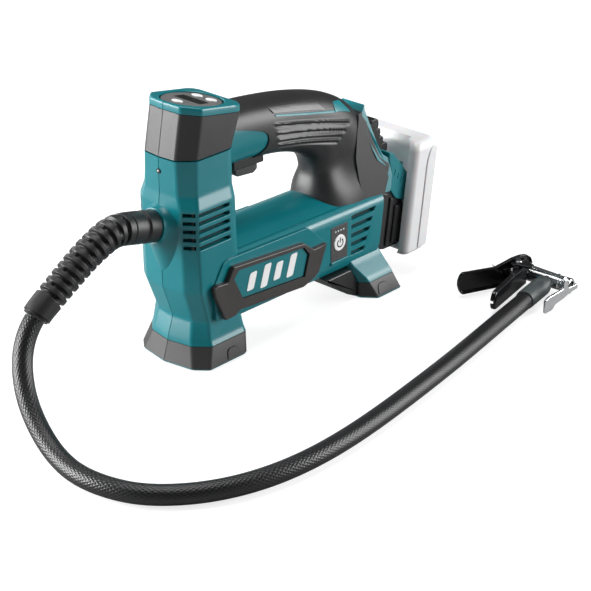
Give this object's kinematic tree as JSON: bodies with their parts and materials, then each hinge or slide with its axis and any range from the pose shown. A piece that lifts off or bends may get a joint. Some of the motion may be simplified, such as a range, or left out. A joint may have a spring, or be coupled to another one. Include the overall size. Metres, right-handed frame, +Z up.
{
  "type": "cordless air inflator",
  "caption": "Cordless air inflator with a head tower and display, a closed handle with a trigger, a slide-on battery and a hose with a clip-on lever chuck.",
  "frame": {"origin": "centre of the machine's footprint box on the floor, hose left out", "axes": "+Z up, -X towards the head tower and hose, +X towards the battery, +Y to the machine's left"},
  "size_m": [0.4107, 0.2082, 0.1778],
  "materials": {
    "teal_plastic": "satin moulded",
    "grey_grip": "soft satin overmould",
    "grey_plastic": "fine texture",
    "black_plastic": "satin",
    "white_plastic": "satin",
    "pack_plastic": "milky translucent",
    "clear_lens": "clear",
    "black_rubber": "matte ribbed",
    "hose_cover": "woven cover over rubber",
    "steel": "machined",
    "cast_metal": "cast",
    "chrome": "polished plate",
    "copper": "wound copper",
    "board": "solder mask",
    "black_metal": "gloss black"
  },
  "bodies": {
    "machine": {"air_hose": "hose_cover", "badge_frame_left": "grey_plastic", "badge_frame_right": "grey_plastic", "badge_plate_left": "teal_plastic", "badge_plate_right": "teal_plastic", "battery_rail": "black_plastic", "bearing_block": "steel", "chuck_body": "chrome", "chuck_handle": "black_metal", "chuck_pin": "steel", "chuck_spring": "steel", "collar_band": "grey_plastic", "control_board": "board", "crank_bearing": "steel", "cylinder": "cast_metal", "cylinder_head": "cast_metal", "display_board": "board", "display_plate": "grey_plastic", "front_foot": "grey_grip", "gear_plate": "steel", "grip_left": "grey_grip", "grip_right": "grey_grip", "hose_ferrule": "grey_plastic", "hose_gland": "black_plastic", "housing_left": "teal_plastic", "housing_right": "teal_plastic", "housing_screw_1": "steel", "housing_screw_2": "steel", "lcd_window": "clear_lens", "led_lens": "clear_lens", "motor_can": "steel", "outlet_tube": "white_plastic", "power_panel": "grey_plastic", "rear_bell": "black_plastic", "rear_foot": "grey_grip", "strain_relief": "black_rubber", "terminal_block": "black_plastic", "top_bezel": "teal_plastic", "trigger_spring": "steel", "trigger_switch": "black_plastic"},
    "crank": {"crankshaft": "steel", "drive_gear": "steel"},
    "rotor": {"motor_armature": "copper", "pinion": "steel", "cooling_fan": "black_plastic"},
    "piston": {"piston": "cast_metal", "piston_ring": "black_rubber", "wrist_pin": "steel"},
    "rod": {"connecting_rod": "steel"},
    "trigger": {"trigger": "grey_plastic"},
    "power_button": {"power_button": "white_plastic"},
    "mode_button": {"mode_button": "white_plastic"},
    "plus_button": {"plus_button": "white_plastic"},
    "minus_button": {"minus_button": "white_plastic"},
    "battery": {"battery_case": "pack_plastic", "battery_base": "pack_plastic", "battery_cells": "steel"},
    "latch": {"battery_latch": "grey_plastic"},
    "chuck_lever": {"chuck_lever": "black_metal", "chuck_jaw": "chrome"}
  },
  "joints": [
    {"name": "crank_spin", "type": "hinge", "parent": "machine", "child": "crank", "pos_m": [-0.04871, 0, 0.043], "axis": [1, 0, 0], "continuous": true},
    {"name": "rotor_spin", "type": "hinge", "parent": "machine", "child": "rotor", "pos_m": [0.00629, 0, 0.0595], "axis": [1, 0, 0], "continuous": true},
    {"name": "piston_stroke", "type": "slide", "parent": "machine", "child": "piston", "axis": [0, 0, 1], "range_m": [-0.014, 0]},
    {"name": "rod_swing", "type": "hinge", "parent": "piston", "child": "rod", "pos_m": [-0.08261, 0, 0.09], "axis": [1, 0, 0], "range_deg": [-10.1, 10.1]},
    {"name": "trigger_pull", "type": "slide", "parent": "machine", "child": "trigger", "axis": [0, 0, 1], "range_m": [0, 0.0035], "stiffness_N_per_m": 800, "deforming": ["trigger_spring"]},
    {"name": "power_press", "type": "slide", "parent": "machine", "child": "power_button", "axis": [0, 1, 0], "range_m": [0, 0.001], "stiffness_N_per_m": 600},
    {"name": "mode_press", "type": "slide", "parent": "machine", "child": "mode_button", "axis": [0, 0, -1], "range_m": [0, 0.0007], "stiffness_N_per_m": 500},
    {"name": "plus_press", "type": "slide", "parent": "machine", "child": "plus_button", "axis": [0, 0, -1], "range_m": [0, 0.0007], "stiffness_N_per_m": 500},
    {"name": "minus_press", "type": "slide", "parent": "machine", "child": "minus_button", "axis": [0, 0, -1], "range_m": [0, 0.0007], "stiffness_N_per_m": 500},
    {"name": "battery_slide", "type": "slide", "parent": "machine", "child": "battery", "axis": [0.1299, 0, 0.9915], "range_m": [0, 0.11]},
    {"name": "latch_press", "type": "slide", "parent": "battery", "child": "latch", "axis": [-1, 0, 0], "range_m": [0, 0.002], "stiffness_N_per_m": 500},
    {"name": "lever_squeeze", "type": "hinge", "parent": "machine", "child": "chuck_lever", "pos_m": [0.1429, -0.10114, 0.0106], "axis": [0, 0, 1], "range_deg": [-6, 0], "stiffness_Nm_per_rad": 0.6}
  ],
  "couplings": [
    {"joint": "crank_spin", "follows": "rotor_spin", "ratio": -0.3}
  ]
}
